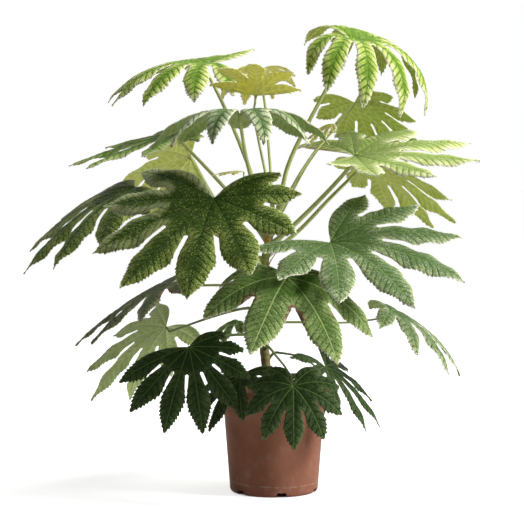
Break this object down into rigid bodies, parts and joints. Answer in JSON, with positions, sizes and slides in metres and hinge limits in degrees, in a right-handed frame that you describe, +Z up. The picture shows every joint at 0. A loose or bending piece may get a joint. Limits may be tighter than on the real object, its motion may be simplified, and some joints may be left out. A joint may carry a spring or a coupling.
{
  "type": "potted fatsia",
  "caption": "Variegated fatsia shrub with lobed hand-shaped leaves on long stalks, growing in a round tapered nursery pot.",
  "frame": {"origin": "bottom centre of the pot, on the surface it stands on", "axes": "+Z up along the pot's axis, -Y towards the front, +X to the right seen from the front"},
  "size_m": [0.7455, 0.735, 0.7734],
  "materials": {
    "terracotta_plastic": "matte",
    "potting_soil": "rough",
    "green_bark": "ringed bark",
    "dry_bract": "dry",
    "stalk_green": "smooth",
    "leaf_old": "satin, speckled",
    "leaf_shaded": "satin, cream speckle",
    "leaf_green": "satin",
    "leaf_speckled": "satin, cream speckle",
    "leaf_lime": "satin",
    "leaf_golden": "satin",
    "leaf_pale": "matte underside"
  },
  "bodies": {
    "root": {"pot": "terracotta_plastic", "soil": "potting_soil", "trunk": "green_bark", "bract_lower": "dry_bract", "bract_upper": "dry_bract", "blade_top_right": "leaf_lime", "stalk_top_right": "stalk_green", "blade_top_left": "leaf_lime", "stalk_top_left": "stalk_green", "blade_golden_front": "leaf_golden", "stalk_golden_front": "stalk_green", "blade_golden_back": "leaf_golden", "stalk_golden_back": "stalk_green", "blade_upper_centre": "leaf_speckled", "stalk_upper_centre": "stalk_green", "blade_upper_right_back": "leaf_pale", "stalk_upper_right_back": "stalk_green", "blade_right_high": "leaf_lime", "stalk_right_high": "stalk_green", "blade_right_back": "leaf_pale", "stalk_right_back": "stalk_green", "blade_upper_left": "leaf_pale", "stalk_upper_left": "stalk_green", "blade_upper_left_back": "leaf_pale", "stalk_upper_left_back": "stalk_green", "blade_far_left": "leaf_shaded", "stalk_far_left": "stalk_green", "blade_front_centre": "leaf_shaded", "stalk_front_centre": "stalk_green", "blade_right_middle": "leaf_speckled", "stalk_right_middle": "stalk_green", "blade_centre_low": "leaf_green", "stalk_centre_low": "stalk_green", "blade_far_right_low": "leaf_speckled", "stalk_far_right_low": "stalk_green", "blade_left_low": "leaf_old", "stalk_left_low": "stalk_green", "blade_left_back_low": "leaf_pale", "stalk_left_back_low": "stalk_green", "blade_left_dark": "leaf_old", "stalk_left_dark": "stalk_green", "blade_small_back": "leaf_pale", "stalk_small_back": "stalk_green", "blade_pot_front": "leaf_old", "stalk_pot_front": "stalk_green", "blade_pot_left": "leaf_old", "stalk_pot_left": "stalk_green", "blade_pot_right": "leaf_old", "stalk_pot_right": "stalk_green", "blade_pot_small": "leaf_old", "stalk_pot_small": "stalk_green", "blade_young_right": "leaf_golden", "stalk_young_right": "stalk_green", "blade_young_left": "leaf_golden", "stalk_young_left": "stalk_green"}
  },
  "joints": []
}
